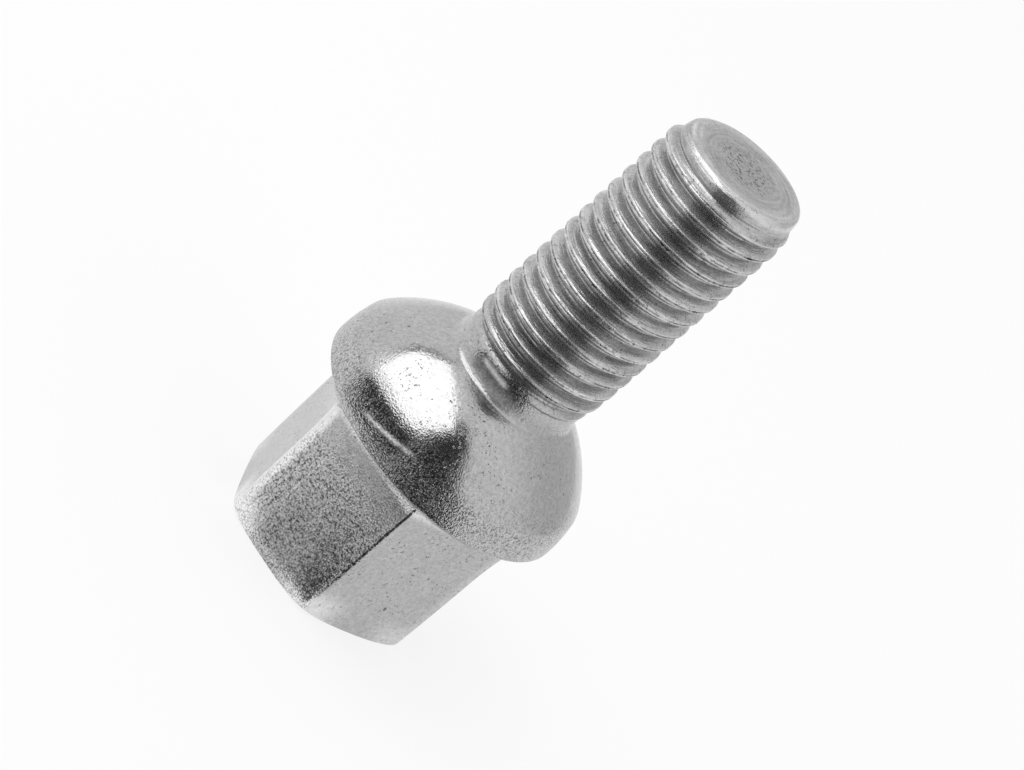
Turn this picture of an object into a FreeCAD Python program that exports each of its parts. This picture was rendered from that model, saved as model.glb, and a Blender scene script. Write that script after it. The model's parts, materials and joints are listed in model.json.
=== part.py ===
"""Wheel bolt with a hexagon head, a ball seat collar and a threaded shank, forged and turned as one piece.

The bolt stands on its head: the origin is the centre of the head's flat end, and +Z runs along the
bolt's axis to the tip of the shank. All sizes are in millimetres.
"""
import FreeCAD, Part
import math
import os
from types import SimpleNamespace

import Sketcher

# The driving sizes. Every one of them can be changed by itself.
SIZES = {
    # hexagon head
    "hex_across_flats": 17.0,       # where the head meets the collar
    "hex_height": 12.4,             # from the head's end to the start of the collar's back
    "hex_sink": 1.0,                # how far the hexagon runs on inside the collar
    "hex_draft_angle": 0.65,        # degrees, the head narrows towards its end
    "hex_edge_round": 0.5,          # along the six upright edges
    "crown_inset": 0.42,            # from half the width across flats in to the flat end
    "crown_round": 2.1,             # the rounded crown that takes off the six corners
    # collar
    "collar_diameter": 23.0,
    "collar_width": 4.6,            # from the start of its back to the edge of the ball seat
    "collar_back_angle": 36.5,      # degrees, how steeply the back rises to the rim
    "rim_round": 0.9,               # between the back and the collar's side
    "root_flare": 1.2,              # hollow rounding where the head runs into the collar
    "root_flare_sink": 0.03,        # how far the rounding starts inside the flats
    # ball seat: a ball of 13.3 mm radius follows from these sizes and the neck's
    "seat_edge_inset": 0.35,        # from the collar's rim in to the edge of the seat
    "seat_height": 4.84,            # from the edge of the seat to where the ball meets the neck
    # shank
    "shank_length": 24.6,           # from where the ball meets the neck to the tip
    "thread_diameter": 11.85,       # over the crests of an M12 thread
    "neck_inset": 0.425,            # from the crests down to the plain neck
    "neck_length": 1.8,             # from the ball to the start of the thread's run-out
    "neck_fillet": 0.8,             # between the ball seat and the neck
    "runout_length": 1.3,
    "point_inset": 0.725,           # from the crests down to where the lead cone meets the tip
    "point_length": 2.1,
    "point_edge_chamfer": 0.42,     # across the edge of the tip's flat face
}

# How a sketch numbers a curve's points, and its own two axes. The X axis starts at the sketch's origin.
START, END, CENTRE = range(1, 4)
X_AXIS, Y_AXIS = -1, -2

FULL_TURN = 360
ROUND_SHARE = 0.4    # the most of the collar's overhang that a rounding of its back may measure
SAME_HEIGHT = 1e-6
LEVEL = 0.5      # a face whose normal rises less than this stands upright
UPRIGHT = 0.5    # an edge that rises more than this runs along the bolt

doc = FreeCAD.newDocument("wheel_bolt")


def fill_sheet():
    """Writes the driving sizes to a spreadsheet, with the name beside each value."""
    sheet = doc.addObject("Spreadsheet::Sheet", "sizes")
    for row, (name, value) in enumerate(SIZES.items(), start=1):
        sheet.set(f"A{row}", name)
        sheet.set(f"B{row}", str(value))
        sheet.setAlias(f"B{row}", name)
    doc.recompute()
    return sheet


def origin_feature(body, role):
    """One of the body's own origin planes or axes."""
    return next(item for item in body.Origin.OriginFeatures if item.Role == role)


def new_sketch(body, name, role):
    sketch = body.newObject("Sketcher::SketchObject", name)
    sketch.AttachmentSupport = [(origin_feature(body, role), "")]
    sketch.MapMode = "FlatFace"
    return sketch


def bind(sketch, name, constraint, expression):
    """Adds a dimension to a sketch and ties it to the sheet."""
    index = sketch.addConstraint(constraint)
    sketch.renameConstraint(index, name)
    sketch.setExpression(f"Constraints.{name}", expression)


def vector(x, y):
    return FreeCAD.Vector(x, y, 0)


def add_line(sketch, start, end):
    return sketch.addGeometry(Part.LineSegment(vector(*start), vector(*end)))


def add_arc(sketch, centre, radius, first_angle, last_angle):
    circle = Part.Circle(vector(*centre), FreeCAD.Vector(0, 0, 1), radius)
    return sketch.addGeometry(Part.ArcOfCircle(circle, first_angle, last_angle))


def join(sketch, ends):
    """Makes each pair of (curve, end) pairs coincide."""
    for (curve_a, end_a), (curve_b, end_b) in ends:
        sketch.addConstraint(Sketcher.Constraint("Coincident", curve_a, end_a, curve_b, end_b))


def add_hexagon(body, size):
    """The head: a hexagon set just inside the collar and run down to the head's end."""
    sketch = new_sketch(body, "hexagon", "XY_Plane")
    sketch.setExpression("AttachmentOffset.Base.z", "sizes.hex_height + sizes.hex_sink")
    corner_radius = size.hex_across_flats / math.sqrt(3)
    corners = [(corner_radius * math.cos(math.radians(60 * k)),
                corner_radius * math.sin(math.radians(60 * k))) for k in range(6)]
    sides = [add_line(sketch, corners[k], corners[(k + 1) % 6]) for k in range(6)]
    join(sketch, [((sides[k], END), (sides[(k + 1) % 6], START)) for k in range(6)])
    rim = sketch.addGeometry(Part.Circle(vector(0, 0), FreeCAD.Vector(0, 0, 1), corner_radius), True)
    sketch.addConstraint(Sketcher.Constraint("Coincident", rim, CENTRE, X_AXIS, START))
    for side in sides:
        sketch.addConstraint(Sketcher.Constraint("PointOnObject", side, START, rim))
    for side in sides[1:]:
        sketch.addConstraint(Sketcher.Constraint("Equal", sides[0], side))
    sketch.addConstraint(Sketcher.Constraint("PointOnObject", sides[0], START, X_AXIS))
    bind(sketch, "corner_radius", Sketcher.Constraint("Radius", rim, corner_radius),
         "sizes.hex_across_flats / sqrt(3)")

    pad = body.newObject("PartDesign::Pad", "head")
    pad.Profile = sketch
    pad.Reversed = True
    pad.setExpression("Length", "sizes.hex_height + sizes.hex_sink")
    doc.recompute()
    return pad


def taper_head(body, pad):
    """Tilts the six flats so that the head narrows from the collar to its end."""
    top = pad.Shape.BoundBox.ZMax
    flats = []
    for number, face in enumerate(pad.Shape.Faces, start=1):
        if abs(face.normalAt(0, 0).z) < LEVEL:
            flats.append(f"Face{number}")
        elif face.CenterOfMass.z > top - SAME_HEIGHT:
            collar_end = f"Face{number}"
    draft = body.newObject("PartDesign::Draft", "head_draft")
    draft.Base = (pad, flats)
    draft.NeutralPlane = (pad, [collar_end])
    draft.Reversed = True
    draft.setExpression("Angle", "sizes.hex_draft_angle")
    doc.recompute()
    if draft.Shape.Volume >= pad.Shape.Volume:
        raise RuntimeError("the head does not narrow towards its end")
    return draft


def round_head_edges(body, head):
    """Rounds the six edges that run along the head."""
    names = []
    for number, edge in enumerate(head.Shape.Edges, start=1):
        if abs(edge.tangentAt(edge.FirstParameter).z) > UPRIGHT:
            names.append(f"Edge{number}")
    fillet = body.newObject("PartDesign::Fillet", "head_edges")
    fillet.Base = (head, names)
    fillet.setExpression("Radius", "sizes.hex_edge_round")
    doc.recompute()
    return fillet


def cut_crown(body, size):
    """Rounds the head's corners off towards its flat end, in one turned cut."""
    sketch = new_sketch(body, "crown_section", "XZ_Plane")
    face_radius = size.hex_across_flats / 2 - size.crown_inset
    outer_radius = face_radius + size.crown_round
    crown = add_arc(sketch, (face_radius, size.crown_round), size.crown_round, -math.pi / 2, 0)
    side = add_line(sketch, (outer_radius, size.crown_round), (outer_radius, 0))
    bottom = add_line(sketch, (outer_radius, 0), (face_radius, 0))
    join(sketch, [((crown, END), (side, START)), ((side, END), (bottom, START)),
                  ((bottom, END), (crown, START))])
    sketch.addConstraint(Sketcher.Constraint("Vertical", side))
    sketch.addConstraint(Sketcher.Constraint("PointOnObject", bottom, START, X_AXIS))
    sketch.addConstraint(Sketcher.Constraint("PointOnObject", bottom, END, X_AXIS))
    sketch.addConstraint(Sketcher.Constraint("Vertical", crown, START, crown, CENTRE))
    sketch.addConstraint(Sketcher.Constraint("Horizontal", crown, END, crown, CENTRE))
    bind(sketch, "crown_round", Sketcher.Constraint("Radius", crown, size.crown_round),
         "sizes.crown_round")
    bind(sketch, "face_radius", Sketcher.Constraint("DistanceX", X_AXIS, START, crown, START, face_radius),
         "sizes.hex_across_flats / 2 - sizes.crown_inset")

    groove = body.newObject("PartDesign::Groove", "crown")
    groove.Profile = sketch
    groove.ReferenceAxis = (sketch, ["V_Axis"])
    groove.Angle = FULL_TURN
    doc.recompute()
    return groove


def turned_stations(size):
    """Radii, heights and arc centres of the turned section, from the axis and the head's end."""
    at = SimpleNamespace()
    at.flat = size.hex_across_flats / 2
    at.collar = size.collar_diameter / 2
    at.slope = math.radians(size.collar_back_angle)
    at.flare = min(size.root_flare, ROUND_SHARE * (at.collar - at.flat))
    at.flare_start = at.flat - size.root_flare_sink
    at.flare_bottom = size.hex_height - at.flare * math.cos(at.slope)
    at.back = size.hex_height
    at.back_start = at.flare_start + at.flare * (1 - math.sin(at.slope))
    at.rim = min(size.rim_round, ROUND_SHARE * (at.collar - at.flat))
    at.back_end = at.collar - at.rim * (1 - math.sin(at.slope))
    at.rim_start = at.back + (at.back_end - at.back_start) * math.tan(at.slope)
    at.rim_top = at.rim_start + at.rim * math.cos(at.slope)
    at.seat_edge = at.collar - size.seat_edge_inset
    at.seat_bottom = at.back + size.collar_width
    at.seat_top = at.seat_bottom + size.seat_height
    at.thread = size.thread_diameter / 2
    at.neck = at.thread - size.neck_inset
    at.point = at.thread - size.point_inset
    at.tip = at.seat_top + size.shank_length
    at.neck_top = at.seat_top + size.neck_length
    at.runout_top = at.neck_top + size.runout_length
    at.point_bottom = at.tip - size.point_length
    half_chord = (at.neck ** 2 + size.seat_height ** 2 - at.seat_edge ** 2) / (2 * size.seat_height)
    at.ball_centre = at.seat_bottom + half_chord
    at.ball = math.hypot(at.seat_edge, half_chord)
    at.fillet_centre = at.ball_centre + math.sqrt((at.ball + size.neck_fillet) ** 2
                                                  - (at.neck + size.neck_fillet) ** 2)
    at.side = (size.seat_edge_inset ** 2 + (at.seat_bottom - at.rim_top) ** 2) / (2 * size.seat_edge_inset)
    return at


def draw_turned_section(sketch, size, at):
    """Draws the section's curves in order, from the axis inside the head out and up to the tip."""
    fillet_out = at.neck + size.neck_fillet
    seat_angle = math.atan2(at.seat_bottom - at.ball_centre, at.seat_edge)
    fillet_angle = math.atan2(at.fillet_centre - at.ball_centre, fillet_out)
    side_angle = math.atan2(at.seat_bottom - at.rim_top, at.side - size.seat_edge_inset)
    curve = SimpleNamespace()
    curve.base = add_line(sketch, (0, at.flare_bottom), (at.flare_start, at.flare_bottom))
    curve.flare = add_arc(sketch, (at.flare_start + at.flare, at.flare_bottom), at.flare,
                          math.pi / 2 + at.slope, math.pi)
    curve.back = add_line(sketch, (at.back_start, at.back), (at.back_end, at.rim_start))
    curve.rim = add_arc(sketch, (at.collar - at.rim, at.rim_top), at.rim, at.slope - math.pi / 2, 0)
    curve.side = add_arc(sketch, (at.collar - at.side, at.rim_top), at.side, 0, side_angle)
    curve.seat = add_arc(sketch, (0, at.ball_centre), at.ball, seat_angle, fillet_angle)
    curve.fillet = add_arc(sketch, (fillet_out, at.fillet_centre), size.neck_fillet,
                           math.pi, math.pi + fillet_angle)
    curve.neck = add_line(sketch, (at.neck, at.fillet_centre), (at.neck, at.neck_top))
    curve.runout = add_line(sketch, (at.neck, at.neck_top), (at.thread, at.runout_top))
    curve.thread = add_line(sketch, (at.thread, at.runout_top), (at.thread, at.point_bottom))
    curve.point = add_line(sketch, (at.thread, at.point_bottom), (at.point, at.tip))
    curve.tip = add_line(sketch, (at.point, at.tip), (0, at.tip))
    curve.axis = add_line(sketch, (0, at.tip), (0, at.flare_bottom))
    # where the ball would meet the neck without the fillet
    curve.meeting = sketch.addGeometry(Part.Point(vector(at.neck, at.seat_top)), True)
    return curve


def hold_turned_section(sketch, curve):
    """Joins the section's curves and sets which of them are level, upright or tangent."""
    join(sketch, [((curve.base, END), (curve.flare, END)), ((curve.side, END), (curve.seat, START)),
                  ((curve.neck, END), (curve.runout, START)), ((curve.runout, END), (curve.thread, START)),
                  ((curve.thread, END), (curve.point, START)), ((curve.point, END), (curve.tip, START)),
                  ((curve.tip, END), (curve.axis, START)), ((curve.axis, END), (curve.base, START))])
    tangents = [(curve.flare, START, curve.back, START), (curve.back, END, curve.rim, START),
                (curve.rim, END, curve.side, START), (curve.seat, END, curve.fillet, END),
                (curve.fillet, START, curve.neck, START)]
    for tangent in tangents:
        sketch.addConstraint(Sketcher.Constraint("Tangent", *tangent))
    for level in (curve.base, curve.tip):
        sketch.addConstraint(Sketcher.Constraint("Horizontal", level))
    for upright in (curve.neck, curve.thread):
        sketch.addConstraint(Sketcher.Constraint("Vertical", upright))
    for on_axis in ((curve.axis, START), (curve.axis, END), (curve.seat, CENTRE)):
        sketch.addConstraint(Sketcher.Constraint("PointOnObject", *on_axis, Y_AXIS))
    sketch.addConstraint(Sketcher.Constraint("PointOnObject", curve.meeting, START, curve.seat))
    sketch.addConstraint(Sketcher.Constraint("Horizontal", curve.flare, END, curve.flare, CENTRE))
    sketch.addConstraint(Sketcher.Constraint("Horizontal", curve.rim, END, curve.rim, CENTRE))
    sketch.addConstraint(Sketcher.Constraint("Vertical", curve.meeting, START, curve.neck, END))


def size_turned_section(sketch, size, at, curve):
    """Ties the section's radii, reaches and heights to the sheet."""
    overhang = "(sizes.collar_diameter / 2 - sizes.hex_across_flats / 2)"
    radii = [("root_flare", curve.flare, at.flare, f"min(sizes.root_flare; {ROUND_SHARE} * {overhang})"),
             ("rim_round", curve.rim, at.rim, f"min(sizes.rim_round; {ROUND_SHARE} * {overhang})"),
             ("neck_fillet", curve.fillet, size.neck_fillet, "sizes.neck_fillet")]
    for name, arc, value, formula in radii:
        bind(sketch, name, Sketcher.Constraint("Radius", arc, value), formula)
    bind(sketch, "back_angle", Sketcher.Constraint("Angle", curve.back, at.slope),
         "sizes.collar_back_angle")

    reaches = [("flare_start", curve.flare, END, at.flare_start,
                "sizes.hex_across_flats / 2 - sizes.root_flare_sink"),
               ("collar_radius", curve.rim, END, at.collar, "sizes.collar_diameter / 2"),
               ("seat_edge", curve.seat, START, at.seat_edge,
                "sizes.collar_diameter / 2 - sizes.seat_edge_inset"),
               ("neck_radius", curve.neck, END, at.neck, "sizes.thread_diameter / 2 - sizes.neck_inset"),
               ("thread_radius", curve.thread, END, at.thread, "sizes.thread_diameter / 2"),
               ("point_radius", curve.point, END, at.point,
                "sizes.thread_diameter / 2 - sizes.point_inset")]
    for name, line, end, value, formula in reaches:
        bind(sketch, name, Sketcher.Constraint("DistanceX", X_AXIS, START, line, end, value), formula)

    rises = [("hex_height", X_AXIS, START, curve.back, START, at.back),
             ("collar_width", curve.back, START, curve.seat, START, size.collar_width),
             ("seat_height", curve.seat, START, curve.meeting, START, size.seat_height),
             ("shank_length", curve.meeting, START, curve.tip, END, size.shank_length),
             ("neck_length", curve.meeting, START, curve.neck, END, size.neck_length),
             ("runout_length", curve.neck, END, curve.thread, START, size.runout_length),
             ("point_length", curve.thread, END, curve.tip, END, size.point_length)]
    for name, low, low_end, high, high_end, value in rises:
        rise = Sketcher.Constraint("DistanceY", low, low_end, high, high_end, value)
        bind(sketch, name, rise, f"sizes.{name}")


def turn_collar_and_shank(body, size):
    """Collar, ball seat, neck, shank and point, turned from one section."""
    at = turned_stations(size)
    sketch = new_sketch(body, "turned_section", "XZ_Plane")
    curve = draw_turned_section(sketch, size, at)
    hold_turned_section(sketch, curve)
    size_turned_section(sketch, size, at, curve)

    turned = body.newObject("PartDesign::Revolution", "collar_and_shank")
    turned.Profile = sketch
    turned.ReferenceAxis = (sketch, ["V_Axis"])
    turned.Angle = FULL_TURN
    doc.recompute()
    return turned


def break_point_edge(body, turned):
    """Takes the edge off the tip's flat face."""
    tip_height = max(vertex.Z for vertex in turned.Shape.Vertexes)
    names = []
    for number, edge in enumerate(turned.Shape.Edges, start=1):
        is_round = edge.Curve.TypeId == "Part::GeomCircle"
        if is_round and edge.Vertexes[0].Z > tip_height - SAME_HEIGHT:
            names.append(f"Edge{number}")
    chamfer = body.newObject("PartDesign::Chamfer", "point_edge")
    chamfer.Base = (turned, names)
    chamfer.setExpression("Size", "sizes.point_edge_chamfer")
    doc.recompute()
    return chamfer


def check_document():
    """Stops if any object failed to build."""
    for item in doc.Objects:
        if "Invalid" in item.State or "Error" in item.State:
            raise RuntimeError(f"{item.Name} did not build: {item.State}")


def main():
    size = fill_sheet()
    body = doc.addObject("PartDesign::Body", "wheel_bolt")
    body.Label = "wheel_bolt"
    head = taper_head(body, add_hexagon(body, size))
    head_volume = round_head_edges(body, head).Shape.Volume
    crown = cut_crown(body, size)
    if crown.Shape.Volume >= head_volume:
        raise RuntimeError("the crown took nothing off the head")
    turned = turn_collar_and_shank(body, size)
    break_point_edge(body, turned)
    doc.recompute()
    check_document()
    shape = body.Shape
    if shape.isNull() or not shape.isValid() or len(shape.Solids) != 1:
        raise RuntimeError("the bolt is not one sound solid")
    os.makedirs("parts", exist_ok=True)
    shape.exportStep(f"parts/{body.Label}.step")
    box = shape.optimalBoundingBox(False)
    print(f"{body.Label}: {box.XLength:.2f} x {box.YLength:.2f} x {box.ZLength:.2f} mm,"
          f" {shape.Volume / 1000:.3f} cm3, {len(shape.Faces)} faces")


main()
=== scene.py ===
# %% [markdown]
# # A wheel bolt, turned, threaded and plated
#
# The real bolt is one piece of steel. Its head is forged to a hexagon, its collar and ball seat are
# pressed with the head, its thread is rolled, and the whole bolt is then plated with zinc. This lesson
# follows the same order: a turned body, a hexagon pressed into it, a thread wound round it, and a
# plating that is all in the shader. The CAD model comes first, as the frame that everything is set to.

# %% Load the frame
import json
import math

import bpy
import numpy as np
from mathutils import Matrix, Vector

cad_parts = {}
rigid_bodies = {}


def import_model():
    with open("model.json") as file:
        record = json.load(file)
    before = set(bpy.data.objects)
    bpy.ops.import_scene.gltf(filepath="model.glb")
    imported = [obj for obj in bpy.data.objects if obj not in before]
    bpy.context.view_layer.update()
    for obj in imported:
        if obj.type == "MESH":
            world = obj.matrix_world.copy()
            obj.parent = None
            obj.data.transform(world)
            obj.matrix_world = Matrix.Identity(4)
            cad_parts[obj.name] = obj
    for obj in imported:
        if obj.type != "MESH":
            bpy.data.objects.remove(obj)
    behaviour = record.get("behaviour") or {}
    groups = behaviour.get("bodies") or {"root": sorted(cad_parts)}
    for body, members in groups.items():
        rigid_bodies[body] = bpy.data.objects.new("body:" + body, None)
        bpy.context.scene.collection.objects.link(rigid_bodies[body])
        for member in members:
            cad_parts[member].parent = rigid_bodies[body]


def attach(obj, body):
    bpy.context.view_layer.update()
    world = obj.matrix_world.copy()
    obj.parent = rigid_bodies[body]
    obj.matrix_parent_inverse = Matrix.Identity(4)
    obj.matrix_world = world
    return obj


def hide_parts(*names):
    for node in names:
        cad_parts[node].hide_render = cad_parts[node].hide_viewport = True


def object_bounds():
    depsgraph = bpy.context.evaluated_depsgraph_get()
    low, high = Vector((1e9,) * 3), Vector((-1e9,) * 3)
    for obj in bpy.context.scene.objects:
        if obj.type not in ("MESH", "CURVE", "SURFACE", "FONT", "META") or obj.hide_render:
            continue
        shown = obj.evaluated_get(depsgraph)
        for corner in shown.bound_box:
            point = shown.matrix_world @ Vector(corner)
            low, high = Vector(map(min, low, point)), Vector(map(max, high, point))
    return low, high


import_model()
cad_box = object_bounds()
MM = 0.001
print("CAD box in mm:", [[round(side / MM, 2) for side in corner] for corner in cad_box])

# %% [markdown]
# ## Where the sections lie
#
# The bolt stands on its head, so every section is a height above the floor. The heights follow from
# the CAD box and a few sizes of the real bolt, all in millimetres. The mesh is made at this size and
# shrunk to Blender's metres at the very end.

# %% Sizes of the bolt
LENGTH = (cad_box[1].z - cad_box[0].z) / MM
COLLAR_RADIUS = (cad_box[1].x - cad_box[0].x) / 2 / MM
HALF_FLATS = 8.5
HEAD_DRAFT = math.tan(math.radians(0.65))
COLLAR_BACK = 12.4
RIM_TOP = COLLAR_BACK + 1.85
SEAT_EDGE = COLLAR_RADIUS - 0.35
SEAT_BOTTOM = COLLAR_BACK + 4.6
NECK_RADIUS = 5.5
NECK_FILLET = 0.8
SEAT_TOP = SEAT_BOTTOM + 4.84
print(f"length {LENGTH:.2f}, collar radius {COLLAR_RADIUS:.2f}")
print(f"ball seat from {SEAT_BOTTOM:.2f} to {SEAT_TOP:.2f}")

# %% [markdown]
# ## Drawing a section by hand
#
# A lathe part starts as half of its section. In Blender that is one vertex, extruded again and again:
# each extrude leaves an edge behind it. The helper below does just that, so any list of points becomes
# a chain of edges that Spin or Screw can turn.

# %% A chain of edges
def deselect_all():
    if bpy.context.object and bpy.context.object.mode != "OBJECT":
        bpy.ops.object.mode_set(mode="OBJECT")
    bpy.ops.object.select_all(action="DESELECT")


def draw_chain(name, points):
    """One vertex at the first point, extruded through all the others. Points are (radius, height)."""
    deselect_all()
    bpy.ops.mesh.primitive_plane_add(size=1, location=(0, 0, 0))
    chain = bpy.context.object
    chain.name = name
    bpy.ops.object.mode_set(mode="EDIT")
    bpy.ops.mesh.select_mode(type="VERT")
    bpy.ops.mesh.select_all(action="SELECT")
    bpy.ops.mesh.merge(type="CENTER")
    radius, height = points[0]
    bpy.ops.transform.translate(value=(radius, 0, height))
    for next_radius, next_height in points[1:]:
        step = (next_radius - radius, 0, next_height - height)
        bpy.ops.mesh.extrude_region_move(TRANSFORM_OT_translate={"value": step})
        radius, height = next_radius, next_height
    bpy.ops.object.mode_set(mode="OBJECT")
    return chain


def arc(centre, radius, first, last, pieces):
    """Points on an arc of the section, with the angles in degrees from straight out."""
    angles = [math.radians(first + (last - first) * k / pieces) for k in range(pieces + 1)]
    return [(centre[0] + radius * math.cos(a), centre[1] + radius * math.sin(a)) for a in angles]


# %% [markdown]
# ## The head's section
#
# The head ends in a flat face with a rounded crown that takes off the six corners. Where it meets the
# collar it flares out. For now all of this is round: the section gives the rows of vertices, and the
# hexagon is pressed into those rows afterwards, which keeps the flow of the mesh clean.

# %% Rows of the head
CROWN_RADIUS = 2.1
CROWN_FACE = 8.2
CROWN_END = 48              # degrees of the crown's arc
FLARE_ROWS = 26
FLARE_CROWDING = 1.4        # more than 1 brings the upper rows closer together
FLARE_BOTTOM = COLLAR_BACK - 0.8

face_rows = [(0, 0), (3, 0), (6, 0), (7.6, 0)]
crown_rows = arc((CROWN_FACE, CROWN_RADIUS), CROWN_RADIUS, -90, CROWN_END - 90, 18)
flat_rows = [(HALF_FLATS, height) for height in (0.9, 1.2, 1.8, 3, 5, 7, 8.5, 9.5, 10.2, 10.8, 11.3)]
flare_shares = [1 - (1 - k / FLARE_ROWS) ** FLARE_CROWDING for k in range(FLARE_ROWS + 1)]
flare_rows = [(HALF_FLATS + (COLLAR_RADIUS - HALF_FLATS) * share,
               FLARE_BOTTOM + (RIM_TOP - FLARE_BOTTOM) * share) for share in flare_shares]
head_section = face_rows + crown_rows + flat_rows + flare_rows
print(f"{len(head_section)} rows from the head's end to the collar")

# %% [markdown]
# ## The collar, the ball seat and the neck
#
# The collar's rim has a slightly barrelled side. Then comes the ball seat, a true piece of a ball,
# because that is what centres the bolt in the wheel. Its edge is only just broken, and a fillet leads
# from the ball to the plain neck. A UV sphere could give the ball, but it would have to be cut and sewn
# in. An arc in the section is a ball once it is turned.

# %% Rows of the collar and the neck
NECK_TOP = 23.2
BARREL_SHARE = 0.97         # the barrel stops short of the seat's edge
EDGE_BREAK = 0.5            # degrees of the ball left out at its edge

seat_rise = SEAT_TOP - SEAT_BOTTOM
half_chord = (NECK_RADIUS ** 2 + seat_rise ** 2 - SEAT_EDGE ** 2) / (2 * seat_rise)
BALL_CENTRE = SEAT_BOTTOM + half_chord
BALL_RADIUS = math.hypot(SEAT_EDGE, half_chord)
fillet_height = BALL_CENTRE + math.sqrt((BALL_RADIUS + NECK_FILLET) ** 2 - (NECK_RADIUS + NECK_FILLET) ** 2)
seat_angle = math.degrees(math.atan2(SEAT_BOTTOM - BALL_CENTRE, SEAT_EDGE))
fillet_angle = math.degrees(math.atan2(fillet_height - BALL_CENTRE, NECK_RADIUS + NECK_FILLET))
barrel_inset = COLLAR_RADIUS - SEAT_EDGE
barrel = (barrel_inset ** 2 + (SEAT_BOTTOM - RIM_TOP) ** 2) / (2 * barrel_inset)
barrel_angle = math.degrees(math.asin((SEAT_BOTTOM - RIM_TOP) / barrel))

barrel_rows = arc((COLLAR_RADIUS - barrel, RIM_TOP), barrel, 0, barrel_angle * BARREL_SHARE, 5)[1:]
seat_rows = arc((0, BALL_CENTRE), BALL_RADIUS, seat_angle + EDGE_BREAK, fillet_angle, 14)
fillet_rows = arc((NECK_RADIUS + NECK_FILLET, fillet_height), NECK_FILLET, 180 + fillet_angle, 180, 8)[1:]
neck_rows = [(NECK_RADIUS, NECK_TOP)]
body_section = head_section + barrel_rows + seat_rows + fillet_rows + neck_rows
print(f"ball of {BALL_RADIUS:.2f} mm about height {BALL_CENTRE:.2f}, {len(body_section)} rows in all")

# %% [markdown]
# ## Turning the body
#
# Spin turns the chain once round the bolt's axis, as a lathe would. The first and last copies land on
# each other, and so do all the copies of the vertex on the axis, so doubles are merged before the
# normals are set to point outwards.

# %% Spin the section
TURN_STEPS = 240
TINY = 1e-4


def merge_and_face_outwards():
    bpy.ops.mesh.select_all(action="SELECT")
    bpy.ops.mesh.remove_doubles(threshold=TINY)
    bpy.ops.mesh.normals_make_consistent(inside=False)


body = draw_chain("turned_body", body_section)
bpy.ops.object.mode_set(mode="EDIT")
bpy.ops.mesh.select_all(action="SELECT")
bpy.ops.mesh.spin(steps=TURN_STEPS, angle=math.tau, center=(0, 0, 0), axis=(0, 0, 1))
merge_and_face_outwards()
bpy.ops.object.mode_set(mode="OBJECT")
print(f"turned body: {len(body.data.vertices)} vertices")

# %% [markdown]
# ## Pressing the hexagon
#
# A hexagon could be cut with a boolean, but that leaves long thin faces that shade badly along the
# soft corners of a forging. Here each vertex of the head slides in or out along its own radius
# until it lies on a rounded hexagon. Where two surfaces meet, a soft minimum or maximum blends
# them, which is just what forging does to an edge.

# %% Blends and the rounded hexagon
def soft_min(a, b, width):
    """The smaller of two arrays, rounded off where they are within width of each other."""
    share = np.clip(0.5 + 0.5 * (b - a) / width, 0, 1)
    return b + (a - b) * share - width * share * (1 - share)


def soft_max(a, b, width):
    return -soft_min(-a, -b, width)


def read_points(mesh):
    """The mesh's vertices as radius, angle and height."""
    flat = np.empty(len(mesh.vertices) * 3)
    mesh.vertices.foreach_get("co", flat)
    x, y, z = flat.reshape(-1, 3).T
    return np.hypot(x, y), np.arctan2(y, x), z.copy()


def write_points(mesh, radius, angle, height):
    points = np.stack([radius * np.cos(angle), radius * np.sin(angle), height], axis=1)
    mesh.vertices.foreach_set("co", points.ravel())
    mesh.update()


SIXTH = math.pi / 3


def crowd_corners(angle, share=0.75):
    """Draws vertices together near the six corners, where the surface turns fastest."""
    turn = angle / SIXTH
    return SIXTH * (turn - share / math.tau * np.sin(math.tau * turn))


def hexagon_radius(angle, half_flats, corner_round):
    """Distance from the axis to a hexagon with rounded corners, one of them along +X."""
    off_corner = np.abs((angle + SIXTH / 2) % SIXTH - SIXTH / 2)
    flat = half_flats / np.cos(SIXTH / 2 - off_corner)
    centre = (half_flats - corner_round) / math.cos(SIXTH / 2)
    reach = np.clip(corner_round ** 2 - (centre * np.sin(off_corner)) ** 2, 0, None)
    rounded = centre * np.cos(off_corner) + np.sqrt(reach)
    tangent = np.arctan2(corner_round / 2, centre + corner_round * math.cos(SIXTH / 2))
    return np.where(off_corner < tangent, rounded, flat)


# %% Move the head's rows
CORNER_ROUNDS = {0: 0.32, 1: 0.5, 2: 0.45, 3: 0.32, 4: 0.75, 5: 0.3}    # by sixth of a turn from +X
CROWN_WEAR = 0.5         # the corners are rounder by this much at the head's end
CROWN_WEAR_END = 6       # height at which that has faded out
EDGE_BLEND = 0.3
FLARE_POWER = 1.32       # 1 would be a straight cone
FLARE_BLEND = 0.16       # share of the flare's height over which it starts
FLAT_SIDE = math.radians(-79)    # on this side the die stood a little deeper
FLAT_SIDE_WIDTH = math.radians(75)
FLAT_SIDE_RISE = 0.42
FLAT_SIDE_POWER = 0.12   # the flare is straighter by this much there
CORNER_RISE = 0.7
ROOT_SWELL = 0.15
SWELL_START, SWELL_HEIGHT = 9.2, 3.2

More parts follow.
